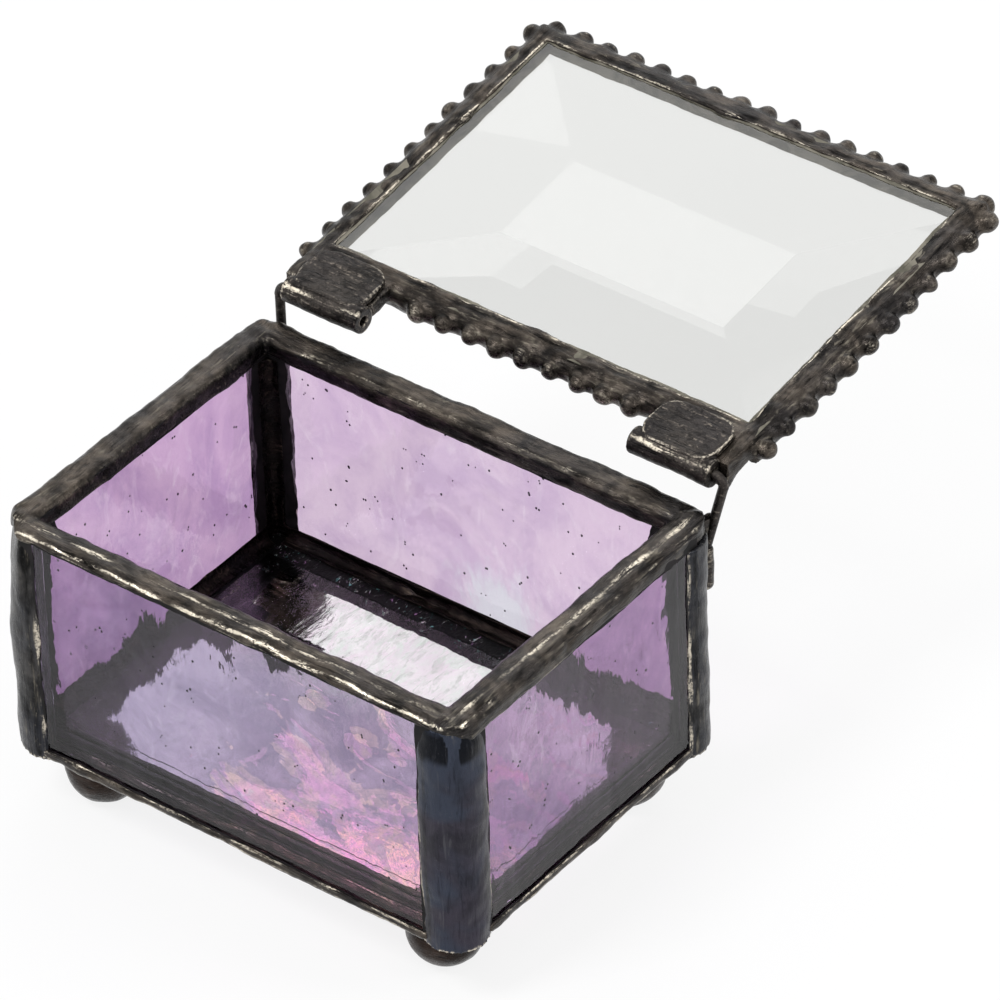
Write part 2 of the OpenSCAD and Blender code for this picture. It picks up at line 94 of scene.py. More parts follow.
# Half sizes of the box and of the room inside it.
HALF_L = -GLASS["left"][0][0]
HALF_W = -GLASS["front"][0][1]
ROOM_L = HALF_L - WALL_T
ROOM_W = HALF_W - WALL_T
PANE_LOW = GLASS["front"][0][2] - FOIL_T
PANE_TOP = GLASS["front"][1][2] + FOIL_T
# Lower edge of the foil's lap at the panes' top.
LAP_LOW = PANE_TOP - FOIL_LAP
# The open lid's lean, the middle of its hinge axis, and the thickness of its glass outside the bevel.
LID_LEAN = math.radians(7.5)
HINGE = np.array(frame["joints"][0]["pos_m"]) / MM
LID_EDGE_T = 2.2
# How much less the front rim laps over its pane than the others.
FRONT_RISE = 1.3
# How much less the base seams lap over the outside of the wall panes than their foil.
SEAM_DROP = 0.8
# Width of the fillet and the foil along the base's front and right edges, inside.
THIN_LAP = 0.55
# How far the filler blocks inside the solder stay behind the panes' faces.
BLOCK_IN = 0.06
# The foil's thickness over the glass, how far it stands off the pane, and how far apart the points of its
# ragged edges are.
LEAF_T = 0.05
LEAF_OUT = 0.02
EDGE_STEP = 0.35


# ---- Meshes ----

def add_box(bm, low, high, place=None):
    """Adds a block between two corners, through the matrix place if there is one."""
    low, high = Vector(low), Vector(high)
    made = bmesh.ops.create_cube(bm, size=1)
    matrix = Matrix.Translation((low + high) / 2) @ Matrix.Diagonal((*(high - low), 1))
    if place is not None:
        matrix = place @ matrix
    bmesh.ops.transform(bm, matrix=matrix, verts=made["verts"])


def lid_place():
    """The matrix from the lid's own frame, in millimetres, to the open lid."""
    return Matrix.Translation(Vector(HINGE)) @ Matrix.Rotation(LID_LEAN, 4, "X")


def finish_piece(name, mesh, body, material, nodes=()):
    """Makes the object of a mesh that is in millimetres, and ties it to the frame."""
    mesh.transform(Matrix.Scale(MM, 4))
    mesh.materials.clear()
    mesh.materials.append(material)
    piece = bpy.data.objects.new(name, mesh)
    bpy.context.scene.collection.objects.link(piece)
    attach(piece, body)
    if nodes:
        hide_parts(*nodes)


def remeshed(bm, voxel):
    """One closed skin round everything in the bmesh, as a new mesh."""
    rough = bpy.data.meshes.new("rough")
    bm.to_mesh(rough)
    bm.free()
    holder = bpy.data.objects.new("holder", rough)
    bpy.context.scene.collection.objects.link(holder)
    remesh = holder.modifiers.new("remesh", "REMESH")
    remesh.mode = "VOXEL"
    remesh.voxel_size = voxel
    evaluated = holder.evaluated_get(bpy.context.evaluated_depsgraph_get())
    mesh = bpy.data.meshes.new_from_object(evaluated)
    bpy.data.objects.remove(holder)
    return mesh


def per_point(mesh, what):
    """The co or the normal of each vertex, one to a row."""
    values = np.empty(len(mesh.vertices) * 3, np.float32)
    mesh.vertices.foreach_get(what, values)
    return values.reshape(-1, 3).astype(float)


def edges_of(mesh):
    """The two vertices of each edge, one edge to a row."""
    edge = np.empty(len(mesh.edges) * 2, np.int32)
    mesh.edges.foreach_get("vertices", edge)
    return edge.reshape(-1, 2)


def ripple(points, size, seed):
    """Smooth noise from about -1 to 1 at each point, with features of that size in millimetres."""
    shift = np.array([13.7, -4.1, 8.9]) * seed
    return np.array([noise.noise(Vector(p)) for p in points / size + shift]) * 1.4


def neighbour_mean(values, edge):
    """Each point's mean of a value over the points that its edges lead to."""
    ends, others = edge.ravel(), edge[:, ::-1].ravel()
    count = np.maximum(np.bincount(ends, minlength=len(values)), 1)
    return np.bincount(ends, weights=values[others], minlength=len(values)) / count


def filled(points, normal, edge, rounds):
    """Fills the hollow places of a skin, as solder flows into them, and leaves the high ones."""
    for _ in range(rounds):
        mean = np.stack([neighbour_mean(points[:, axis], edge) for axis in range(3)], 1)
        push = ((mean - points) * normal).sum(1)
        points = points + normal * np.maximum(push, 0)[:, None]
    return points


def convexity(points, normal, edge):
    """About 1 where the skin turns outward with a radius of 1 mm, and 0 where it is flat."""
    run = points[edge[:, 1]] - points[edge[:, 0]]
    ends = np.concatenate([edge[:, 0], edge[:, 1]])
    away = np.concatenate([-run, run]) * normal[ends]
    length = np.maximum(np.linalg.norm(run, axis=1), 1e-6)
    bend = away.sum(1) / np.concatenate([length, length])**2
    count = np.maximum(np.bincount(ends, minlength=len(points)), 1)
    bend = np.bincount(ends, weights=bend, minlength=len(points)) / count
    for _ in range(2):
        bend = (bend + neighbour_mean(bend, edge)) / 2
    return bend * 4


def rough_skin(nodes, fillers, voxel):
    """The CAD nodes and the filler blocks in one closed skin."""
    bm = bmesh.new()
    for node in nodes:
        bm.from_mesh(frame["nodes"][node].data)
    bmesh.ops.scale(bm, vec=(1 / MM,) * 3, verts=bm.verts)
    for filler in fillers:
        add_box(bm, *filler)
    return remeshed(bm, voxel)


def mark(mesh, name, values):
    """Gives each vertex its value of a new attribute."""
    attribute = mesh.attributes.new(name, "FLOAT", "POINT")
    attribute.data.foreach_set("value", values.astype(np.float32))


def cast(name, nodes, body, material, fillers=(), voxel=0.22, waves=0.16, lumps=0.08, grain=0.025,
         inward=0.05, seed=1, rub=0.4, worn_and_painted_light=None, flow=0, raised=None, moved=None):
    """Solder as it was run and cooled: the CAD nodes and fillers in one skin, with its waves and lumps.
    The wear attribute says where handling has rubbed the patina, from the skin's own high places, and where
    the function given for worn adds rubbed places and painted highlights.
    It is below zero where that function paints shade, and there the patina is darkest.
    The attribute turn is 1 where the solder runs from front to back, as at the box's two ends."""
    mesh = rough_skin(nodes, fillers, voxel)
    edge = edges_of(mesh)
    points, normal = per_point(mesh, "co"), per_point(mesh, "normal")
    points = filled(points, normal, edge, flow)
    if moved is not None:
        points = moved(points)
    height = waves * ripple(points, 7.0, seed) + lumps * ripple(points, 2.6, seed + 1)
    height += grain * ripple(points, 0.9, seed + 2)
    if raised is not None:
        height += raised(points)
    points += normal * (height - inward)[:, None]
    low, high = np.array(CAD_BOX[0]) / MM, np.array(CAD_BOX[1]) / MM
    points = np.clip(points, low, high)
    mesh.vertices.foreach_set("co", points.astype(np.float32).ravel())
    mesh.update()
    normal = per_point(mesh, "normal")
    wear_and_painted_light = np.clip((convexity(points, normal, edge) - 0.35) / 1.2, 0, 1) * rub
    # The given function adds more rubbed places, painted highlights and painted shade.
    if worn_and_painted_light is not None:
        wear_and_painted_light = wear_and_painted_light + worn_and_painted_light(points, normal)
    mark(mesh, "wear_and_painted_light", np.clip(wear_and_painted_light * (0.75 + 0.6 * ripple(points, 3.3, seed + 3)), -1, 1))
    mark(mesh, "turn", np.clip(np.abs(points[:, 0]) - ROOM_L + 0.3, 0, 1))
    mesh.shade_smooth()
    finish_piece(name, mesh, body, material, nodes)


# ---- Materials ----

def new_material(name):
    """An empty node material, and its tree."""
    material = bpy.data.materials.new(name)
    material.use_nodes = True
    material.node_tree.nodes.clear()
    return material, material.node_tree


def add(tree, kind, **settings):
    """Adds a shader node. A setting is a socket's name or number, or one of the node's own values."""
    node = tree.nodes.new("ShaderNode" + kind)
    for key, value in settings.items():
        if key.startswith("at_"):
            name = key[3:].replace("_", " ")
            socket = node.inputs[int(name)] if name.isdigit() else node.inputs[name]
            if isinstance(value, bpy.types.NodeSocket):
                tree.links.new(value, socket)
            else:
                socket.default_value = value
        else:
            setattr(node, key, value)
    return node


def place_of(tree):
    return add(tree, "TexCoord").outputs["Object"]


def stretched(tree, where, scale):
    return add(tree, "Mapping", at_Vector=where, at_Scale=scale).outputs[0]


def noise_of(tree, where, size, detail=3, roughness=0.55, distortion=0.0):
    """Noise with features of that size in millimetres."""
    node = add(tree, "TexNoise", at_Vector=where, at_Scale=1 / (size * MM), at_Detail=detail,
               at_Roughness=roughness, at_Distortion=distortion)
    return node.outputs["Fac"]


def ramp(tree, value, low, high, out_low=0.0, out_high=1.0):
    """Maps low..high to out_low..out_high, smoothly and without going past them."""
    node = add(tree, "MapRange", interpolation_type="SMOOTHSTEP", at_Value=value, at_From_Min=low,
               at_From_Max=high, at_To_Min=out_low, at_To_Max=out_high)
    return node.outputs[0]


def math_of(tree, operation, a, b=0.0):
    return add(tree, "Math", operation=operation, at_0=a, at_1=b).outputs[0]


def mix(tree, share, a, b):
    """Mixes two colours, each a socket or three numbers."""
    a, b = ((*colour, 1) if isinstance(colour, tuple) else colour for colour in (a, b))
    return add(tree, "Mix", data_type="RGBA", at_0=share, at_6=a, at_7=b).outputs[2]


def mix_value(tree, share, a, b):
    return add(tree, "Mix", at_0=share, at_2=a, at_3=b).outputs[0]


def bump(tree, height, depth, strength=1.0, under=None):
    node = add(tree, "Bump", at_Height=height, at_Distance=depth * MM, at_Strength=strength)
    if under is not None:
        tree.links.new(under, node.inputs["Normal"])
    return node.outputs[0]


def layered_bump(tree, layers):
    """Bumps on top of each other, each from a height, a depth in millimetres and a strength."""
    normal = None
    for height, depth, strength in layers:
        normal = bump(tree, height, depth, strength, normal)
    return normal


def output(tree, shader):
    add(tree, "OutputMaterial", at_Surface=shader)


def along_run(tree, where, size, stretch, detail, upright):
    """Noise in streaks that follow the run of the solder, or that stand upright."""
    along_x, along_y, along_z = (stretch, 1, 1), (1, stretch, 1), (1, 1, stretch)

    def streaks(scale):
        return noise_of(tree, stretched(tree, where, scale), size, detail, 0.68, 0.5)
    if upright:
        return streaks(along_z)
    turn = add(tree, "Attribute", attribute_name="turn").outputs["Fac"]
    return mix_value(tree, turn, streaks(along_x), streaks(along_y))


def darkened(tree, colour, mottle, lines, worn_and_painted_light, black):
    """Blackens the hollows and the scratches, and paints shade where the wear attribute is below zero."""
    for marks, low, high, share, tone in ((mottle, 0.50, 0.36, black * 0.7, 0.004),
                                          (lines, 0.45, 0.34, black, 0.002),
                                          # Painted shade where the wear attribute is below zero.
                                          (worn_and_painted_light, 0.0, -0.5, 0.85, 0.003)):
        colour = mix(tree, ramp(tree, marks, low, high, 0.0, share), colour, (tone, tone, tone))
    return colour


def flecked(tree, colour, mottle, lines, fine, fleck, share):
    """Adds paler scratches along the run and fine specks, away from the hollows."""
    for marks, low, high, edge in ((lines, 0.53, 0.66, 0.44), (fine, 0.60, 0.72, 0.42)):
        there = math_of(tree, "MULTIPLY", ramp(tree, marks, low, high), ramp(tree, mottle, edge, 0.60))
        colour = mix(tree, math_of(tree, "MULTIPLY", there, share), colour, fleck)
    return colour


def rubbed_and_highlighted(tree, colour, worn_and_painted_light, lines, fine, tin):
    """Lays tin colour bare where the patina is worn, and where the wear attribute holds painted highlights,
    broken up by the scratches.
    """
    share = math_of(tree, "MULTIPLY", worn_and_painted_light, ramp(tree, lines, 0.36, 0.56, 0.1, 1.0))
    share = math_of(tree, "MULTIPLY", share, ramp(tree, fine, 0.34, 0.58, 0.3, 1.0))
    # Tin colour also where the wear attribute paints highlights.
    return mix(tree, ramp(tree, share, 0.14, 0.58), colour, tin)


def patina(name, dark, mid, tint, tint_share=0.5, rough=0.24, tin=(0.62, 0.56, 0.46),
           fleck=(0.17, 0.152, 0.122), flecks=0.8, black=0.8, relief=1.0, metal=0.9, upright=False,
           patch=1.3, stretch=0.30):
    """Patinated metal: dark and tinted clouds with black hollows, flecks, scratches and worn places, and
    the painted highlights and painted shade that the wear attribute carries.
    patch is the size of the mottling and stretch how much it is drawn out along the run."""
    material, tree = new_material(name)
    where = place_of(tree)
    clouds = noise_of(tree, where, 5.0, 4, 0.6, 0.6)
    tints = noise_of(tree, where, 8.0, 3, 0.5, 0.3)
    mottle = along_run(tree, where, patch, stretch, 6, upright)
    lines = along_run(tree, where, 0.45, 0.10, 5, upright)
    fine = noise_of(tree, where, 0.28, 4, 0.7)
    worn_and_painted_light = add(tree, "Attribute", attribute_name="wear_and_painted_light").outputs["Fac"]
    colour = mix(tree, ramp(tree, clouds, 0.36, 0.64), dark, mid)
    colour = mix(tree, ramp(tree, tints, 0.45, 0.62, 0.0, tint_share), colour, tint)
    colour = darkened(tree, colour, mottle, lines, worn_and_painted_light, black)
    colour = flecked(tree, colour, mottle, lines, fine, fleck, flecks)
    colour = rubbed_and_highlighted(tree, colour, worn_and_painted_light, lines, fine, tin)
    grain = layered_bump(tree, ((mottle, 0.11 * relief, 0.9), (lines, 0.07 * relief, 0.9),
                                (fine, 0.03 * relief, 0.8)))
    shader = add(tree, "BsdfPrincipled", at_Base_Color=colour, at_Normal=grain, at_Metallic=metal,
                 at_Roughness=ramp(tree, lines, 0.3, 0.7, rough - 0.06, rough + 0.16),
                 at_Specular_IOR_Level=0.15)
    output(tree, shader.outputs[0])
    return material


def sheet_foil(name, dark, pale):
    """Foil that lies flat under glass: smooth, with soft clouds."""
    material, tree = new_material(name)
    where = place_of(tree)
    clouds = noise_of(tree, where, 3.0, 4, 0.6, 0.8)
    streaks = noise_of(tree, where, 0.9, 3, 0.6, 0.5)
    colour = mix(tree, ramp(tree, clouds, 0.36, 0.64), dark, pale)
    shader = add(tree, "BsdfPrincipled", at_Base_Color=colour, at_Normal=bump(tree, streaks, 0.02, 0.6),
                 at_Roughness=ramp(tree, clouds, 0.3, 0.7, 0.45, 0.6), at_Specular_IOR_Level=0.1)
    output(tree, shader.outputs[0])
    return material


def glass(name, colour_of, relief_of, shine=1.0):
    """Clear glass in its own colour. Lamps shine through it straight, so that the inside is lit.
    shine is the share of its mirror reflections that it keeps."""
    material, tree = new_material(name)
    where = place_of(tree)
    colour = colour_of(tree, where)
    clear = add(tree, "BsdfPrincipled", at_Base_Color=colour, at_Roughness=0.0, at_IOR=1.5,
                at_Transmission_Weight=1.0, at_Normal=relief_of(tree, where),
                at_Specular_Tint=(shine, shine, shine, 1))
    lamps = add(tree, "BsdfTransparent", at_Color=colour)
    path = add(tree, "LightPath")
    straight = math_of(tree, "MAXIMUM", path.outputs["Is Shadow Ray"], path.outputs["Is Diffuse Ray"])
    shader = add(tree, "MixShader", at_0=straight, at_1=clear.outputs[0], at_2=lamps.outputs[0])
    output(tree, shader.outputs[0])
    return material


def purple_colour(pale, deep, patch=None):
    """Pale lilac with darker clouds, whitish wisps that run up and down the sheet, and a bluish-white patch
    round the point patch, if there is one."""
    def colour_of(tree, where):
        clouds = noise_of(tree, where, 10.0, 5, 0.6, 1.0)
        wisps = noise_of(tree, stretched(tree, where, (1, 1, 0.45)), 4.0, 5, 0.62, 1.6)
        milk = tuple(x**0.45 for x in pale)
        colour = mix(tree, ramp(tree, clouds, 0.38, 0.62), pale, deep)
        colour = mix(tree, ramp(tree, wisps, 0.54, 0.70, 0.0, 0.45), colour, milk)
        if patch is not None:
            gap = add(tree, "VectorMath", operation="DISTANCE", at_0=where, at_1=patch).outputs["Value"]
            ragged = math_of(tree, "ADD", gap, math_of(tree, "MULTIPLY", wisps, 0.014))
            colour = mix(tree, ramp(tree, ragged, 0.0135, 0.0095, 0.0, 0.8), colour, (0.76, 0.78, 0.84))
        return colour
    return colour_of


def purple_relief(tree, where):
    """Slow waves in the sheet, and faint lines that run up and down it."""
    slow = noise_of(tree, stretched(tree, where, (1, 1, 0.6)), 9.0, 2, 0.5, 0.5)
    quick = noise_of(tree, stretched(tree, where, (1.2, 1.2, 0.5)), 3.0, 3, 0.55, 0.6)
    return bump(tree, quick, 0.05, 1.0, bump(tree, slow, 0.35, 1.0))


# Spots of film on the front pane: place along it, height and reach.
FILM_SPOTS = ((8.8, 12.2, 5.5), (12.5, 9.5, 4.5), (10.5, 20.0, 2.2), (16.0, 17.8, 2.6), (21.5, 18.3, 1.8))


def film_colour(tree, where, patches):
    """Pink to peach film with grey contour lines, like oil on water."""
    hue = noise_of(tree, where, 5.0, 4, 0.6, 1.2)
    warm = mix(tree, ramp(tree, hue, 0.46, 0.60), (0.97, 0.59, 0.86), (0.97, 0.75, 0.68))
    warm = mix(tree, ramp(tree, hue, 0.38, 0.32, 0.0, 0.7), warm, (0.86, 0.84, 0.98))
    contours = math_of(tree, "SINE", math_of(tree, "MULTIPLY", patches, 230.0))
    broken = noise_of(tree, where, 1.8, 6, 0.7, 0.8)
    lines = math_of(tree, "MULTIPLY", ramp(tree, contours, 0.0, 0.7), ramp(tree, broken, 0.44, 0.54))
    return mix(tree, math_of(tree, "MULTIPLY", lines, 0.8), warm, (0.44, 0.41, 0.52))


def filmed_colour(tree, where):
    """The front pane: lilac, darker to the left, with sharp patches of film low down at the right and a few
    flakes above them."""
    axis = add(tree, "SeparateXYZ", at_Vector=where)
    x, z = axis.outputs[0], axis.outputs[2]
    lilac = purple_colour((0.60, 0.52, 0.66), (0.42, 0.36, 0.49))(tree, where)
    lilac = mix(tree, ramp(tree, x, -0.012, -0.026, 0.0, 0.45), lilac, (0.36, 0.24, 0.40))
    patches = noise_of(tree, stretched(tree, where, (0.7, 1, 1.25)), 6.0, 8, 0.60, 0.9)
    to_right, to_low = ramp(tree, x, -0.018, 0.016, -0.16, 0.12), ramp(tree, z, 0.016, 0.002, 0.0, 0.19)
    level = math_of(tree, "ADD", to_right, to_low)
    for spot_x, spot_z, reach in FILM_SPOTS:
        run = add(tree, "CombineXYZ", at_0=math_of(tree, "SUBTRACT", x, spot_x * MM),
                  at_1=math_of(tree, "MULTIPLY", math_of(tree, "SUBTRACT", z, spot_z * MM), 1.5))
        gap = add(tree, "VectorMath", operation="LENGTH", at_0=run.outputs[0]).outputs["Value"]
        level = math_of(tree, "ADD", level, ramp(tree, gap, reach * MM, 0.0, 0.0, 0.34))
    score = math_of(tree, "ADD", patches, level)
    there = ramp(tree, score, 0.700, 0.710)
    greyed = ramp(tree, score, 0.58, 0.70, 0.0, 0.75)
    lilac = mix(tree, greyed, lilac, (0.42, 0.37, 0.49))
    return mix(tree, there, lilac, film_colour(tree, where, patches))


def base_colour(tree, where):
    """Clear glass with a rainbow film: white with faint pink and green lines, bluish to the front left,
    mauve to the front right and with patches of stronger film there."""
    axis = add(tree, "SeparateXYZ", at_Vector=where)
    x, y = axis.outputs[0], axis.outputs[1]
    cloud = noise_of(tree, where, 6.0, 5, 0.65, 1.2)
    lines = noise_of(tree, stretched(tree, where, (1, 0.3, 1)), 1.0, 5, 0.62, 1.0)
    hue = noise_of(tree, stretched(tree, where, (1, 0.4, 1)), 2.2, 4, 0.6, 1.0)
    faint = mix(tree, ramp(tree, hue, 0.44, 0.56), (0.80, 0.68, 0.78), (0.70, 0.78, 0.73))
    pale = mix(tree, ramp(tree, cloud, 0.38, 0.58, 0.0, 0.75), (0.94, 0.90, 0.93), faint)
    pale = mix(tree, ramp(tree, lines, 0.52, 0.62, 0.0, 0.8), pale, (0.55, 0.57, 0.55))
    grey = mix(tree, ramp(tree, cloud, 0.40, 0.60), (0.72, 0.62, 0.74), (0.50, 0.45, 0.56))
    cool = mix(tree, ramp(tree, x, -0.020, 0.004), (0.74, 0.74, 0.82), grey)
    colour = mix(tree, ramp(tree, y, -0.002, 0.006), cool, pale)
    patches = noise_of(tree, stretched(tree, where, (0.7, 1.3, 1)), 7.0, 7, 0.60, 1.2)
    to_right, to_front = ramp(tree, x, -0.020, 0.018, -0.16, 0.12), ramp(tree, y, -0.004, -0.017, 0.0, 0.15)
    level = math_of(tree, "ADD", to_right, to_front)
    there = ramp(tree, math_of(tree, "ADD", patches, level), 0.69, 0.70)
    return mix(tree, there, colour, film_colour(tree, where, patches))


def base_relief(tree, where):
    """Fine ripples that run from front to back."""
    ripples = noise_of(tree, stretched(tree, where, (1, 0.28, 1)), 1.1, 4, 0.6, 0.6)
    waves = noise_of(tree, where, 5.0, 2)
    return bump(tree, ripples, 0.11, 1.0, bump(tree, waves, 0.15, 1.0))


def glints(name):
    """Black foil round the rippled base, with small glints of white, green and pink along its back edge."""
    material, tree = new_material(name)
    where = place_of(tree)
    y = add(tree, "SeparateXYZ", at_Vector=where).outputs[1]
    lines = noise_of(tree, stretched(tree, where, (1, 0.45, 1)), 0.45, 4, 0.7, 1.8)
    patches = noise_of(tree, where, 2.6, 3, 0.6)
    hue = noise_of(tree, where, 1.0, 3, 0.6)
    colour = mix(tree, ramp(tree, hue, 0.40, 0.50), (0.30, 0.80, 0.75), (0.75, 0.78, 0.74))
    colour = mix(tree, ramp(tree, hue, 0.54, 0.60), colour, (0.75, 0.40, 0.80))
    there = math_of(tree, "MULTIPLY", ramp(tree, lines, 0.60, 0.66), ramp(tree, patches, 0.44, 0.56))
    there = math_of(tree, "MULTIPLY", there, ramp(tree, y, 0.0120, 0.0135))
    colour = mix(tree, there, (0.0015, 0.0015, 0.0015), colour)
    shader = add(tree, "BsdfPrincipled", at_Base_Color=colour, at_Metallic=there, at_Roughness=0.35,
                 at_Normal=bump(tree, lines, 0.10, 1.0), at_Specular_IOR_Level=0.1)
    output(tree, shader.outputs[0])
    return material


def clear_colour(tree, where):
    """White glass, whose ground bevels are each painted a little darker than the middle, as painted shade
    by the way each faces.
    """
    facing = add(tree, "SeparateXYZ", at_Vector=add(tree, "TexCoord").outputs["Normal"])
    # Painted shade on the bevels, by the way each one faces.
    left = ramp(tree, facing.outputs[0], -0.13, -0.02, 0.06, 0.0)
    right = ramp(tree, facing.outputs[0], 0.02, 0.13, 0.0, 0.02)
    far = ramp(tree, facing.outputs[1], 0.15, 0.26, -0.04, 0.0)
    painted_facet_shade = math_of(tree, "ADD", left, math_of(tree, "ADD", right, far))
    return mix(tree, painted_facet_shade, (0.70, 0.705, 0.69), (0.0, 0.0, 0.0))


def clear_relief(tree, where):
    return bump(tree, noise_of(tree, where, 12.0, 1), 0.01, 0.3)


# ---- Scene ----

def floor():
    """A pale floor. What the camera, metal and glass see of it is nearly white, with the box's shadow."""
    material, tree = new_material("floor_white")
    path = add(tree, "LightPath")
    seen = math_of(tree, "MAXIMUM", path.outputs["Is Camera Ray"], path.outputs["Is Glossy Ray"])
    matt = add(tree, "BsdfDiffuse", at_Color=(0.85, 0.85, 0.86, 1))
    white = add(tree, "Emission", at_Color=(1, 1, 1, 1), at_Strength=1.0)
    through_glass = math_of(tree, "MULTIPLY", path.outputs["Is Transmission Ray"], 0.94)
    share = math_of(tree, "MAXIMUM", math_of(tree, "MULTIPLY", seen, 0.84), through_glass)
    shader = add(tree, "MixShader", at_0=share, at_1=matt.outputs[0], at_2=white.outputs[0])
    output(tree, shader.outputs[0])
    mesh = bpy.data.meshes.new("floor")
    bm = bmesh.new()
    bmesh.ops.create_grid(bm, x_segments=1, y_segments=1, size=3)
    bm.to_mesh(mesh)
    bm.free()
    mesh.materials.append(material)
    ground = bpy.data.objects.new("floor", mesh)
    ground.location.z = CAD_BOX[0].z
    bpy.context.scene.collection.objects.link(ground)


def world():
    """Soft light from all round. What the camera, metal and glass see of it is white."""
    studio = bpy.data.worlds.new("studio")
    bpy.context.scene.world = studio
    studio.use_nodes = True
    tree = studio.node_tree
    tree.nodes.clear()
    path = add(tree, "LightPath")
    seen = math_of(tree, "MAXIMUM", path.outputs["Is Camera Ray"], path.outputs["Is Glossy Ray"])
    seen = math_of(tree, "MAXIMUM", seen, path.outputs["Is Transmission Ray"])
    soft = add(tree, "Background", at_Color=(1, 1, 1, 1), at_Strength=0.7)
    white = add(tree, "Background", at_Color=(1, 1, 1, 1), at_Strength=1.0)
    shader = add(tree, "MixShader", at_0=seen, at_1=soft.outputs[0], at_2=white.outputs[0])
    add(tree, "OutputWorld", at_Surface=shader.outputs[0])


def lamp(name, azimuth, elevation, size, power):
    """A soft square lamp that faces the box."""
    distance = 0.5
    light = bpy.data.lights.new(name, "AREA")
    light.shape = "SQUARE"
    light.size = size
    light.energy = power
    a, e = math.radians(azimuth), math.radians(elevation)
    away = Vector((math.sin(a) * math.cos(e), -math.cos(a) * math.cos(e), math.sin(e)))
    holder = bpy.data.objects.new(name, light)
    holder.location = away * distance
    holder.rotation_euler = away.to_track_quat("Z", "Y").to_euler()
    bpy.context.scene.collection.objects.link(holder)


def camera():
    """The photograph's view: long lens, from the front right and above. Its focal length and the frame's
    width are in pixels."""
    azimuth, elevation, roll = (math.radians(x) for x in (38.451, 37.83, -1.915))
    focal, frame_width, distance = 8000, 1000, 0.771315
    target = Vector((0.018063, 0.0004, 0.034757))
    back = Vector((math.sin(azimuth) * math.cos(elevation), -math.cos(azimuth) * math.cos(elevation),
                   math.sin(elevation)))
    level = Vector((math.cos(azimuth), math.sin(azimuth), 0))
    upright = back.cross(level)
    right = level * math.cos(roll) + upright * math.sin(roll)
    above = upright * math.cos(roll) - level * math.sin(roll)
    seen = bpy.data.objects.new("camera", bpy.data.cameras.new("camera"))
    bpy.context.scene.collection.objects.link(seen)
    seen.data.sensor_width = 36
    seen.data.lens = 36 * focal / frame_width
    seen.data.clip_end = 10
    place = Matrix((right, above, back)).transposed().to_4x4()
    place.translation = target + back * distance
    seen.matrix_world = place
    bpy.context.scene.camera = seen


# ---- Foil and seeds ----

# Dark ragged pieces under the base, in plan.
DARK_SCRAPS_UNDER_BASE = [[(-24.5, 9.0), (-18.5, 8.5), (-18.7, 3.2), (-15.0, -0.9), (-17.8, 0.6), (-22.6, 3.0),
              (-24.5, 4.0)],
             [(-17.0, 7.5), (-10.6, 7.0), (-10.4, 4.4), (-12.8, 2.3), (-15.0, 4.0)]]


def ragged_ring(size, laps, rags, seed):
    """Points round a pane's outline, each with the point on the foil's inner edge that goes with it."""
    x, y = size[0] / 2, size[1] / 2
    low, right, high, left = laps
    corner = [(-x, -y), (x, -y), (x, y), (-x, y)]
    inner = [(-x + left, -y + low), (x - right, -y + low), (x - right, y - high), (-x + left, y - high)]
    inward = [(0, 1), (-1, 0), (0, -1), (1, 0)]
    ring = []
    for side in range(4):
        a, b = corner[side], corner[(side + 1) % 4]
        c, d = inner[side], inner[(side + 1) % 4]
        length = math.dist(c, d)
        count = max(int(length / EDGE_STEP), 4)
        for i in range(count):
            t = i / count
            fade = min(1.0, t * length / 1.5, (1 - t) * length / 1.5)
            at = Vector((t * length / 1.7, seed * 7.3 + side * 3.1, laps[side]))
            wobble = noise.noise(at * 0.45) * 1.3 + 0.6 * noise.noise(at * 1.7)
            push = fade * rags[side] * (0.6 + wobble)
            ring.append(([a[k] + (b[k] - a[k]) * t for k in (0, 1)],
                         [c[k] + (d[k] - c[k]) * t + inward[side][k] * push for k in (0, 1)]))
    return ring


def foil_edge(bm, centre, across, up, out, size, laps, rags, seed):
    """Foil lapped over one face of a pane: a thin frame with a hand-cut, ragged inner edge.
    laps are the widths at the low, right, high and left sides, rags how far the edge wanders past them."""
    rows = []
    for outer, ragged in ragged_ring(size, laps, rags, seed):
        rows.append([bm.verts.new(Vector(centre) + Vector(across) * x + Vector(up) * y + Vector(out) * rise)
                     for (x, y), rise in ((outer, 0), (ragged, 0), (ragged, LEAF_T), (outer, LEAF_T))])
    for row, after in zip(rows, rows[1:] + rows[:1]):
        for j in range(4):
            k = (j + 1) % 4
            bm.faces.new((row[j], after[j], after[k], row[k]))


def dark_scrap(bm, outline, height):
    """A dark piece under the base: a flat piece with a ragged outline."""
    rag = 0.32
    ring = []
    for (ax, ay), (bx, by) in zip(outline, outline[1:] + outline[:1]):
        count = max(int(math.dist((ax, ay), (bx, by)) / EDGE_STEP), 2)
        for i in range(count):
            x, y = ax + (bx - ax) * i / count, ay + (by - ay) * i / count
            shift = [noise.noise(Vector((x, y, z)) * 1.3) + 0.6 * noise.noise(Vector((y, x, z)) * 3.1)
                     for z in (height, height + 9.0)]
            ring.append((x + shift[0] * rag, y + shift[1] * rag))
    lower = [bm.verts.new((x, y, height - LEAF_T)) for x, y in ring]
    face = bm.faces.new(lower)
    top = bmesh.ops.extrude_face_region(bm, geom=[face])["geom"]
    bmesh.ops.translate(bm, vec=(0, 0, LEAF_T), verts=[v for v in top if isinstance(v, bmesh.types.BMVert)])


def foil_piece(name, faces, body, material, node, scraps=()):
    """One pane's foil, from its laps over the pane's faces and any dark ragged pieces under the base."""
    bm = bmesh.new()
    for face in faces:
        foil_edge(bm, **face)
    for scrap in scraps:
        dark_scrap(bm, scrap, PANE_LOW - 0.08)
    bmesh.ops.recalc_face_normals(bm, faces=bm.faces)
    mesh = bpy.data.meshes.new(name)
    bm.to_mesh(mesh)
    bm.free()
    finish_piece(name, mesh, body, material, (node,))


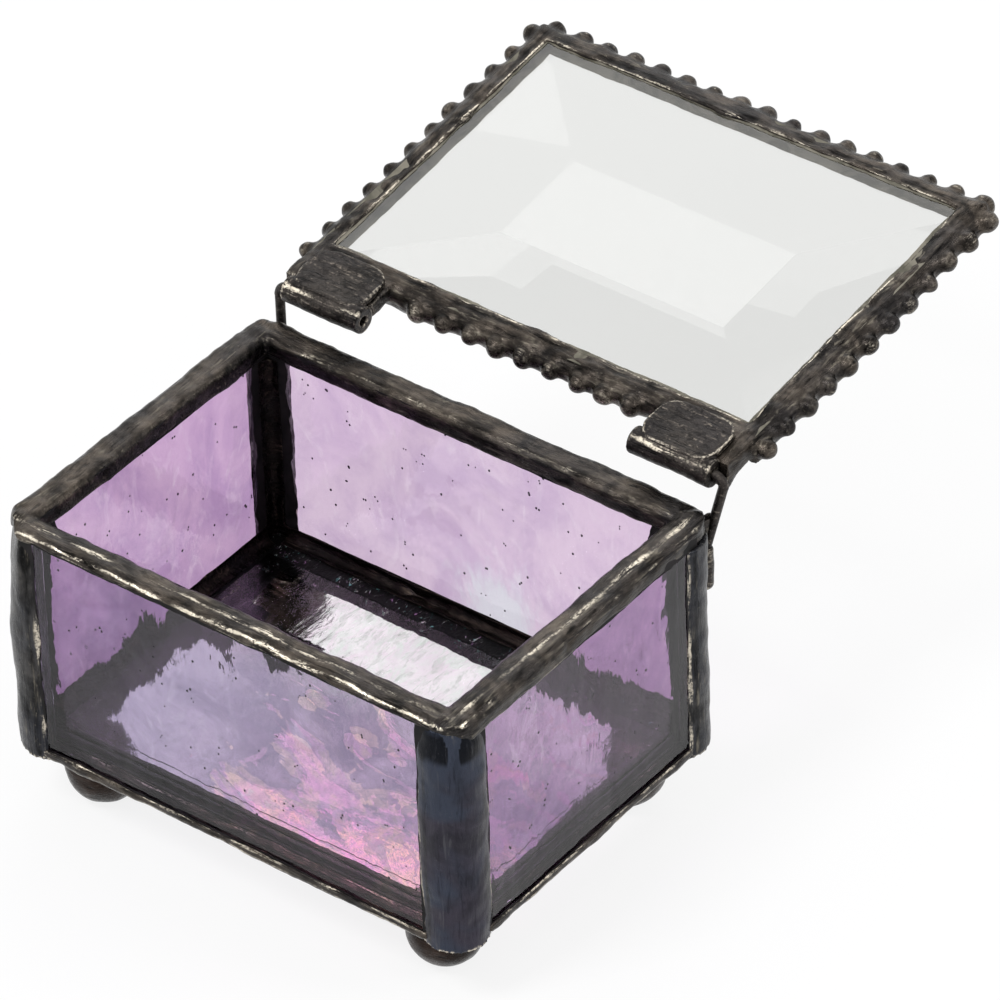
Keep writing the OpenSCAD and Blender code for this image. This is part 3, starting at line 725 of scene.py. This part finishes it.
def wall_foils(material):
    """The foil of the four wall panes, inside and out."""
    height = PANE_TOP - PANE_LOW
    for seed, side in enumerate(SIDES):
        long = side in ("front", "back")
        sign = -1 if side in ("front", "left") else 1
        out = Vector((0, sign, 0)) if long else Vector((sign, 0, 0))
        middle = Vector((0, 0, (PANE_TOP + PANE_LOW) / 2))
        outside, inside = (HALF_W, ROOM_W) if long else (HALF_L, ROOM_L)
        face = dict(across=Vector((1, 0, 0)) if long else Vector((0, 1, 0)), up=Vector((0, 0, 1)),
                    size=(2 * ROOM_L if long else 2 * ROOM_W, height))
        top_lap = FOIL_LAP - FRONT_RISE if side == "front" else FOIL_LAP
        outer = dict(face, centre=out * (outside + LEAF_OUT) + middle, out=out,
                     laps=(FOIL_LAP - SEAM_DROP, FOIL_LAP, top_lap, FOIL_LAP), rags=(0.15,) * 4,
                     seed=seed + 1.0)
        left_lap, left_rag = (FOIL_LAP, 0.1) if side == "front" else (2.4, 0.5)
        inner = dict(face, centre=out * (inside - LEAF_OUT) + middle, out=-out,
                     laps=(FOIL_LAP, 2.4, FOIL_LAP, left_lap), rags=(0.5, 0.5, 0.12, left_rag),
                     seed=seed + 5.5)
        foil_piece("foil_" + side + "_edges", (outer, inner), "box", material, "foil_" + side)


def base_foil(material):
    """The base pane's foil, above and below, with the dark ragged pieces under it."""
    face = dict(across=(1, 0, 0), up=(0, 1, 0), size=(2 * ROOM_L, 2 * ROOM_W))
    above = dict(face, centre=(0, 0, LEAF_OUT), out=(0, 0, 1), laps=(THIN_LAP, THIN_LAP, 3.3, FOIL_LAP),
                 rags=(0.1, 0.1, 0.15, 0.1), seed=3.0)
    below = dict(face, centre=(0, 0, PANE_LOW - LEAF_OUT), out=(0, 0, -1), laps=(1.2, 2.0, 3.5, 3.2),
                 rags=(0.2, 0.4, 0.3, 0.7), seed=4.0)
    foil_piece("foil_base_edges", (above, below), "box", material, "foil_base", DARK_SCRAPS_UNDER_BASE)


def seeds(name, side, count, seed, material):
    """Tiny bubbles in a wall pane, some of them in pairs, made as dark specks: their dark colour is painted
    shade for the way light bends round air in glass.
    """
    draw = random.Random(seed)
    depth = 1 if side in ("front", "back") else 0
    low, high = GLASS[side]
    bm = bmesh.new()
    for _ in range(count):
        point = [draw.uniform(a + 2.2, b - 2.2) for a, b in zip(low, high)]
        point[depth] = draw.uniform(low[depth] + 0.6, high[depth] - 0.6)
        point[2] = draw.uniform(low[2] + 3.5, high[2] - 2.2)
        size = draw.choice((0.09, 0.11, 0.13, 0.15))
        for twin in range(draw.choice((1, 1, 2))):
            made = bmesh.ops.create_icosphere(bm, subdivisions=1, radius=size)
            offset = Vector([draw.uniform(-0.4, 0.4) if twin else 0 for _ in range(3)])
            offset[depth] = 0
            place = Matrix.Translation(Vector(point) + offset) @ Matrix.Diagonal((1, 1, 1.2, 1))
            bmesh.ops.transform(bm, matrix=place, verts=made["verts"])
    mesh = bpy.data.meshes.new(name)
    bm.to_mesh(mesh)
    bm.free()
    mesh.shade_smooth()
    finish_piece(name, mesh, "box", material)


# ---- Solder pieces ----

def wall_blocks(low, high):
    """Blocks in the wall panes' space between two heights, a little inside the panes' faces."""
    blocks = []
    for sign in (-1, 1):
        y = sorted((sign * (ROOM_W + BLOCK_IN), sign * (HALF_W - BLOCK_IN)))
        x = sorted((sign * (ROOM_L + BLOCK_IN), sign * (HALF_L - BLOCK_IN)))
        blocks.append(((-ROOM_L, y[0], low), (ROOM_L, y[1], high)))
        blocks.append(((x[0], -ROOM_W, low), (x[1], ROOM_W, high)))
    return blocks


def column_blocks(side_x, side_y):
    """Blocks in the ends of the two wall panes beside a corner seam."""
    lap = 1.8
    blocks = []
    for low, high in (((ROOM_L - lap, ROOM_W + BLOCK_IN), (ROOM_L + 0.1, HALF_W - BLOCK_IN)),
                      ((ROOM_L + BLOCK_IN, ROOM_W - lap), (HALF_L - BLOCK_IN, ROOM_W + 0.1))):
        x = sorted((side_x * low[0], side_x * high[0]))
        y = sorted((side_y * low[1], side_y * high[1]))
        blocks.append(((x[0], y[0], PANE_LOW + 0.1), (x[1], y[1], LAP_LOW - 0.1)))
    return blocks


def inward_of(points):
    """How far in each point lies from the outside of the wall panes."""
    return -np.maximum(np.abs(points[:, 0]) - HALF_L, np.abs(points[:, 1]) - HALF_W)


def ridge(values, middle, width):
    """1 at the middle value, falling to 0 within about two widths of it."""
    return np.exp(-((values - middle) / width)**2)


def rim_wear_and_painted_light(points, normal):
    """Rubbed, with a painted highlight over it, in a thin line along the front wall's outer top edge and a
    band behind it, along the crest of the right wall and along the inner edge of the back wall, on the
    faces that look up.
    Painted shade down both sides of the rims."""
    inward = inward_of(points)
    up = np.clip(normal[:, 2] * 1.6, 0, 1)
    front = np.clip(-points[:, 1] - HALF_W + 2.5, 0, 1)
    right = np.clip(points[:, 0] - HALF_L + 3.5, 0, 1) * (1 - front)
    back = np.clip(points[:, 1] - HALF_W + 3.5, 0, 1)
    # Rubbed lines that are also painted highlights of the lamps.
    wear_and_painted_light = ridge(inward, 0.08, 0.10) * (0.25 + 1.15 * front)
    wear_and_painted_light += ridge(inward, 1.5, 0.35) * 0.75 * front
    wear_and_painted_light += ridge(inward, 1.3, 0.45) * 0.6 * right
    wear_and_painted_light += ridge(inward, 3.0, 0.22) * 0.5 * back
    # Painted shade down both sides of the rims.
    wear_and_painted_light -= 0.7 * ridge(inward, 3.3, 0.6) * (1 - back)
    wear_and_painted_light -= 0.4 * ridge(inward, 0.5, 0.35) * (1 - front)
    return wear_and_painted_light * np.maximum(up, inward > 2.9)


def column_wear_and_painted_light(points, normal):
    """Rubbed in specks along a corner seam's two side edges, with a band of painted shade just inside them,
    and a painted highlight round its foot.
    The front seams are dark just under the rim."""
    side = np.minimum(np.abs(points[:, 0]) - ROOM_L, np.abs(points[:, 1]) - ROOM_W)
    outer = inward_of(points) < 0.25
    # Rubbed specks at the side edges, and painted shade just inside them.
    wear_and_painted_light = 0.42 * ridge(side, -1.5, 0.22) - 0.4 * ridge(side, -0.8, 0.35)
    # A painted highlight round the seam's foot.
    wear_and_painted_light += 0.9 * ridge(points[:, 2], -3.3, 0.13)
    wear_and_painted_light -= 0.9 * np.clip((points[:, 2] - 19.8) / 1.6, 0, 1) * (points[:, 1] < 0)
    return wear_and_painted_light * outer


def low_seam(points):
    """The base seams, whose upper edge on the outside of the walls lies lower than the foil's."""
    above = np.clip((points[:, 2] - PANE_LOW) / FOIL_LAP, 0, 1)
    outside = inward_of(points) < 0.8 * WALL_T
    points[:, 2] -= SEAM_DROP * above * outside
    return points


def thin_fillet(points):
    """The fillets inside, of which those along the base's front and right edges are thin."""
    spare = 1 - THIN_LAP / FOIL_LAP
    for axis, sign, room, end in ((1, -1, ROOM_W, ROOM_L), (0, 1, ROOM_L, ROOM_W)):
        depth = sign * points[:, axis]
        to_corner = end - FOIL_LAP - 0.2 - np.abs(points[:, 1 - axis])
        near = np.clip(depth - room + 2.2, 0, 1) * np.clip(to_corner / 1.5, 0, 1)
        near *= np.clip(3.0 - points[:, 2], 0, 1)
        points[:, axis] += sign * (room - depth) * spare * near
        points[:, 2] -= np.maximum(points[:, 2], 0) * spare * near
    return points


def corner_lumps(points):
    """Extra lumps where the rims meet at the corners."""
    away = np.hypot(HALF_L - 1.5 - np.abs(points[:, 0]), HALF_W - 1.5 - np.abs(points[:, 1]))
    return np.exp(-(away / 2.4)**2) * 0.22 * ripple(points, 1.2, 77)


def narrow_front(points):
    """The front wall's rim, whose foil was laid on off centre: it laps only a little over the outside."""
    depth = points[:, 1] + HALF_W
    share = np.clip(1 - depth / 2.5, 0, 1) * (points[:, 1] < -ROOM_W)
    below = np.maximum(PANE_TOP - points[:, 2], 0) / FOIL_LAP
    points[:, 2] += FRONT_RISE * share * below
    return pinched(points)


def pinched(points):
    """The same points, with the front left corner drawn in towards the top as the solder ran off it."""
    x, y = -points[:, 0] - ROOM_L, -points[:, 1] - ROOM_W
    corner = np.clip(x, 0, None) * np.clip(y, 0, None)
    reach = np.maximum(np.hypot(x, y), 0.1)
    share = 2 * corner / reach**2 * np.clip((points[:, 2] - 12) / 12, 0, 1)
    pull = 1 - 0.26 * share
    points[:, 0] = np.where(corner > 0, -ROOM_L - x * pull, points[:, 0])
    points[:, 1] = np.where(corner > 0, -ROOM_W - y * pull, points[:, 1])
    return points


def drawn_up(points):
    """A front corner seam, which runs up into the narrow rim and tapers there."""
    top = np.clip((points[:, 2] - 19.0) / (LAP_LOW - 19.0), 0, 1)
    middle = np.stack([np.sign(points[:, 0]) * ROOM_L, np.sign(points[:, 1]) * ROOM_W], 1)
    points[:, :2] = middle + (points[:, :2] - middle) * (1 - 0.13 * top**2)[:, None]
    points[:, 2] += FRONT_RISE * top
    return pinched(points)


def solder_pieces(metal):
    """The rims, the base seams, the fillets inside, and each corner's seam and ball foot."""
    cast("rim_solder", ["rim_" + side for side in SIDES], "box", metal["black"],
         fillers=wall_blocks(LAP_LOW + 0.1, PANE_TOP + 0.1), waves=0.16, lumps=0.14, grain=0.04, seed=2,
         worn_and_painted_light=rim_wear_and_painted_light, raised=corner_lumps, moved=narrow_front)
    cast("base_solder", ["base_seam_" + side for side in SIDES], "box", metal["black"],
         fillers=wall_blocks(PANE_LOW - 0.1, PANE_LOW + FOIL_LAP - 0.1), waves=0.1, lumps=0.1, grain=0.04,
         seed=6, rub=0.5, moved=low_seam)
    fillets = ["fillet_" + corner for corner in CORNERS] + ["base_fillet_" + side for side in SIDES]
    # The fillets inside take the shaded copy of the patina, painted darker as shade.
    cast("inside_solder", fillets, "box", metal["inside"], voxel=0.2, waves=0.1, lumps=0.12, seed=9,
         inward=0.2, moved=thin_fillet)
    for number, corner in enumerate(CORNERS):
        side_x = -1 if "left" in corner else 1
        side_y = -1 if "front" in corner else 1
        # The near seam's patina carries a painted blue-grey reflection.
        cast("column_" + corner, ["seam_" + corner], "box",
             metal["blue" if corner == "front_right" else "grey"], fillers=column_blocks(side_x, side_y),
             voxel=0.25, waves=0.12, lumps=0.08, seed=12 + number, worn_and_painted_light=column_wear_and_painted_light,
             moved=drawn_up if side_y < 0 else None)
        cast("ball_" + corner, ["foot_" + corner], "box", metal["ball"], voxel=0.25, waves=0.12, lumps=0.1,
             seed=20 + number)


def lid_block():
    """Lowest and highest corner of the lid's edge glass, in the lid's own frame."""
    inverse = lid_place().inverted()
    points = [inverse @ (v.co / MM) for v in frame["nodes"]["lid_foil"].data.vertices]
    low = Vector([min(p[i] for p in points) for i in range(3)])
    high = Vector([max(p[i] for p in points) for i in range(3)])
    low.z = high.z - LID_EDGE_T + BLOCK_IN
    high.z -= BLOCK_IN
    return low, high


def border_painted_highlight_and_shade(points, normal):
    """A thin painted highlight along the lid border's edge beside the glass, with a band of painted shade
    just beyond it, away from the glass, on the side that faces up.
    """
    inverse = np.array(lid_place().inverted())
    local = points @ inverse[:3, :3].T + inverse[:3, 3]
    low, high = lid_block()
    beyond = np.maximum(np.abs(local[:, 0]) - high.x, np.maximum(low.y - local[:, 1], local[:, 1] - high.y))
    gap = beyond + FOIL_LAP
    facing = np.clip(normal @ inverse[2, :3] * 1.5, 0, 1)
    # A painted highlight beside the glass, and painted shade just beyond it.
    return (0.55 * ridge(gap, 0.22, 0.12) - 0.45 * ridge(gap, 0.75, 0.30)) * facing


def tube_painted_highlight(points, normal):
    """A painted highlight in a band along the top of the hinge tubes, just in front of the leaf."""
    run = points[:, 1:] - HINGE[1:]
    angle = np.degrees(np.arctan2(run[:, 1], run[:, 0])) - math.degrees(LID_LEAN)
    near = np.hypot(run[:, 0], run[:, 1]) < 1.75
    # A painted highlight in tin colour along the tubes' top.
    return np.exp(-((angle - 122) / 13)**2) * near * 0.6


def border_blocks():
    """Blocks along the lid glass's edges: deep ones at the very edge and shallow ones under the lap."""
    place = lid_place()
    low, high = lid_block()
    gap = 0.05
    blocks = []
    for lap, depth in ((0.35, 2.0), (1.5, 0.5)):
        for sign in (-1, 1):
            x = sorted((sign * (high.x - lap), sign * (high.x - gap)))
            blocks.append(((x[0], low.y + gap, high.z - depth), (x[1], high.y - gap, high.z), place))
        for a, b in ((low.y + gap, low.y + lap), (high.y - lap, high.y - gap)):
            blocks.append(((low.x + gap, a, high.z - depth), (high.x - gap, b, high.z), place))
    return blocks


def lid_pieces(metal):
    """The lid's border with its solder to the hinges, the rolled leaves, and the solder on the wires."""
    borders = ["lid_border_" + side for side in SIDES] + ["hinge_solder_" + hand for hand in HANDS]
    cast("lid_border", borders, "lid", metal["black"], fillers=border_blocks(), voxel=0.18, waves=0.18,
         lumps=0.18, grain=0.05, seed=31, inward=0.02, rub=0.3, flow=16, worn_and_painted_light=border_painted_highlight_and_shade)
    for number, hand in enumerate(HANDS):
        cast("hinge_leaf_" + hand, ["hinge_tube_" + hand], "lid", metal["leaf"], voxel=0.12, waves=0.06,
             lumps=0.06, grain=0.035, inward=0.0, seed=40 + number, rub=0.45, worn_and_painted_light=tube_painted_highlight)
        cast("wire_solder_" + hand, ["wire_joint_" + hand], "box", metal["black"], voxel=0.15, waves=0.08,
             lumps=0.08, seed=44 + number, inward=-0.04, flow=6)


def lid_foil(material):
    """The lid's foil: a ragged frame on the inner face, and one on the outer face that shows through."""
    place = lid_place()
    turn = place.to_3x3()
    low, high = lid_block()
    middle = (low + high) / 2
    face = dict(across=turn @ Vector((1, 0, 0)), up=turn @ Vector((0, 1, 0)), out=turn @ Vector((0, 0, 1)),
                size=(high.x - low.x, high.y - low.y))
    inner = dict(face, centre=place @ Vector((0, middle.y, high.z + 0.08)), laps=(1.8,) * 4,
                 rags=(0.15,) * 4, seed=9.0)
    outer = dict(face, centre=place @ Vector((0, middle.y, low.z)), laps=(2.2,) * 4, rags=(0.12,) * 4,
                 seed=11.0)
    foil_piece("foil_lid_edges", (inner, outer), "lid", material, "lid_foil")


# ---- The whole ----

def metals():
    """The patinated metals of the solder, the feet and the hinges."""
    return {
        "black": patina("patina_black", (0.022, 0.019, 0.017), (0.082, 0.068, 0.056),
                        (0.032, 0.030, 0.031)),
        # A shaded copy of the black patina for the solder inside the box: its darker colours are painted
        # shade.
        "inside": patina("patina_inside_shaded", (0.004, 0.003, 0.003), (0.014, 0.010, 0.009),
                         (0.006, 0.006, 0.007), fleck=(0.06, 0.045, 0.035), tin=(0.10, 0.08, 0.06)),
        "ball": patina("patina_brown", (0.009, 0.007, 0.006), (0.034, 0.022, 0.017), (0.016, 0.012, 0.011),
                       fleck=(0.10, 0.08, 0.07), flecks=0.4),
        # The near seam: dark patina with a blue-grey tint that is a painted reflection.
        "blue": patina("patina_with_painted_blue_reflection", (0.026, 0.025, 0.032), (0.046, 0.042, 0.056), (0.042, 0.050, 0.072),
                       tint_share=0.9, upright=True, fleck=(0.09, 0.09, 0.10), flecks=0.5, black=0.35,
                       relief=0.5, patch=2.2),
        "grey": patina("patina_grey", (0.020, 0.020, 0.021), (0.060, 0.057, 0.055), (0.036, 0.039, 0.050),
                       upright=True, flecks=0.9, black=0.7),
        "leaf": patina("patina_leaf", (0.018, 0.016, 0.015), (0.048, 0.042, 0.038), (0.030, 0.027, 0.028),
                       rough=0.32, fleck=(0.22, 0.19, 0.16), flecks=1.0, black=0.8, patch=0.5, stretch=0.8),
    }


def sheets():
    """The glass of each pane, by its CAD node."""
    milky_patch = (0.003, 0.0195, 0.002)
    front = glass("glass_filmed", filmed_colour, purple_relief, 0.5)
    right = glass("glass_mauve", purple_colour((0.48, 0.34, 0.52), (0.36, 0.25, 0.41)), purple_relief, 0.5)
    left = glass("glass_violet", purple_colour((0.60, 0.40, 0.61), (0.46, 0.29, 0.51)), purple_relief)
    rear = glass("glass_pink", purple_colour((0.74, 0.58, 0.74), (0.60, 0.45, 0.64), milky_patch),
                 purple_relief)
    base = glass("glass_rippled", base_colour, base_relief, 0.35)
    clear = glass("glass_clear", clear_colour, clear_relief)
    return {"glass_front": front, "glass_right": right, "glass_left": left, "glass_back": rear,
            "glass_base": base, "lid_glass": clear}


def dress(node, material):
    """Gives a CAD node that stays in sight its material."""
    slots = frame["nodes"][node].data.materials
    slots.clear()
    slots.append(material)


def main():
    """Builds the whole look: surroundings, materials, solder, foil and the seeds in the glass."""
    bpy.context.scene.view_settings.view_transform = "Standard"
    floor()
    world()
    camera()
    lamp("key", azimuth=-14, elevation=58, size=0.13, power=1.2)
    lamp("back", azimuth=205, elevation=42, size=0.30, power=0.5)
    lamp("side", azimuth=110, elevation=35, size=0.14, power=0.5)
    metal = metals()
    for node, material in sheets().items():
        dress(node, material)
    for hand in HANDS:
        dress("hinge_wire_" + hand, metal["leaf"])
    solder_pieces(metal)
    lid_pieces(metal)
    wall_foils(sheet_foil("foil_black", (0.004, 0.004, 0.004), (0.014, 0.012, 0.013)))
    lid_foil(sheet_foil("foil_tan", (0.09, 0.085, 0.065), (0.20, 0.185, 0.15)))
    base_foil(glints("foil_glints"))
    # Dark colour of the bubbles: painted shade for the way light bends round air in glass.
    bubble = patina("seed_dark", (0.014, 0.009, 0.018), (0.022, 0.014, 0.026), (0.02, 0.013, 0.03),
                    metal=0.0)
    for number, side in enumerate(SIDES):
        seeds("seeds_" + side, side, 70 if side in ("front", "back") else 40, 100 + number, bubble)


main()
